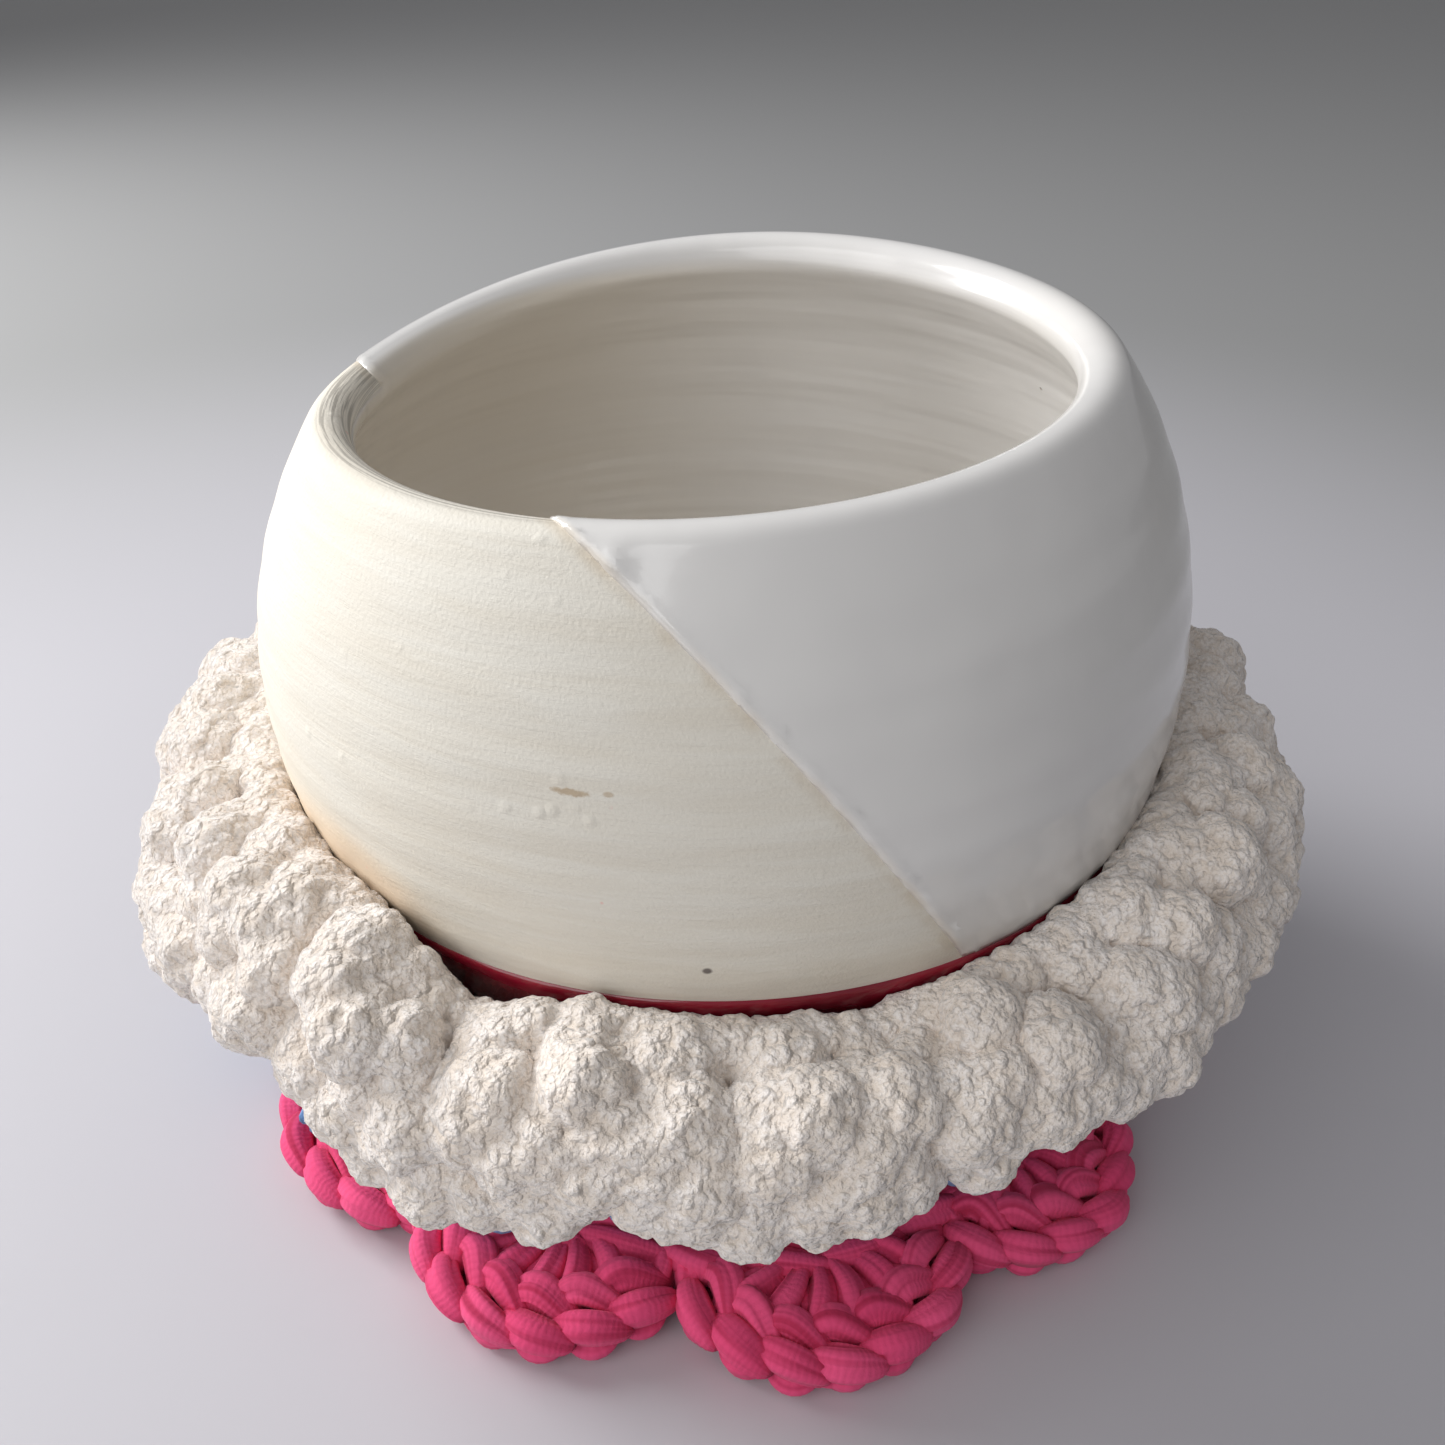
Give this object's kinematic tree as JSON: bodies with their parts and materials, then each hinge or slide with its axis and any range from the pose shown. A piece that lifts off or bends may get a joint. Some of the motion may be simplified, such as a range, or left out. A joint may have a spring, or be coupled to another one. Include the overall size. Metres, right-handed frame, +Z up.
{
  "type": "yarn bowl",
  "caption": "Round thrown stoneware yarn bowl with a turned-in lip, part glazed, sitting in a chenille crochet nest on two scalloped crochet mats.",
  "frame": {"origin": "centre of the pink mat's underside, on the table, below the centre of the bowl's belly", "axes": "+Z up; the diagonal edge of the bowl's white glaze faces -Y and its lip is lowest at -X"},
  "size_m": [0.1959, 0.1974, 0.1443],
  "materials": {
    "pink_jersey_yarn": "matt knitted jersey",
    "blue_cotton_yarn": "matt spun cotton",
    "cream_chenille_yarn": "soft velvet pile",
    "bare_stoneware": "dry matt, brushed slip",
    "white_glaze": "glossy",
    "red_glaze": "glossy"
  },
  "bodies": {
    "pink_mat": {"pink_mat_centre_round": "pink_jersey_yarn", "pink_mat_round_1": "pink_jersey_yarn", "pink_mat_round_2": "pink_jersey_yarn", "pink_mat_round_3": "pink_jersey_yarn", "pink_mat_shell_edging": "pink_jersey_yarn"},
    "blue_mat": {"blue_mat_centre_round": "blue_cotton_yarn", "blue_mat_round_1": "blue_cotton_yarn", "blue_mat_round_2": "blue_cotton_yarn", "blue_mat_shell_edging": "blue_cotton_yarn"},
    "nest": {"nest_floor": "cream_chenille_yarn", "nest_wall": "cream_chenille_yarn", "nest_fold": "cream_chenille_yarn", "nest_scalloped_cuff": "cream_chenille_yarn"},
    "bowl": {"bowl_stoneware_body": "bare_stoneware", "bowl_white_glaze": "white_glaze", "bowl_red_glaze": "red_glaze"}
  },
  "joints": [
    {"name": "blue_mat_lift", "type": "slide", "parent": "pink_mat", "child": "blue_mat", "axis": [0, 0, 1], "range_m": [0, 0.05]},
    {"name": "nest_lift", "type": "slide", "parent": "blue_mat", "child": "nest", "axis": [0, 0, 1], "range_m": [0, 0.08]},
    {"name": "bowl_lift", "type": "slide", "parent": "nest", "child": "bowl", "axis": [0, 0, 1], "range_m": [0, 0.12]}
  ]
}
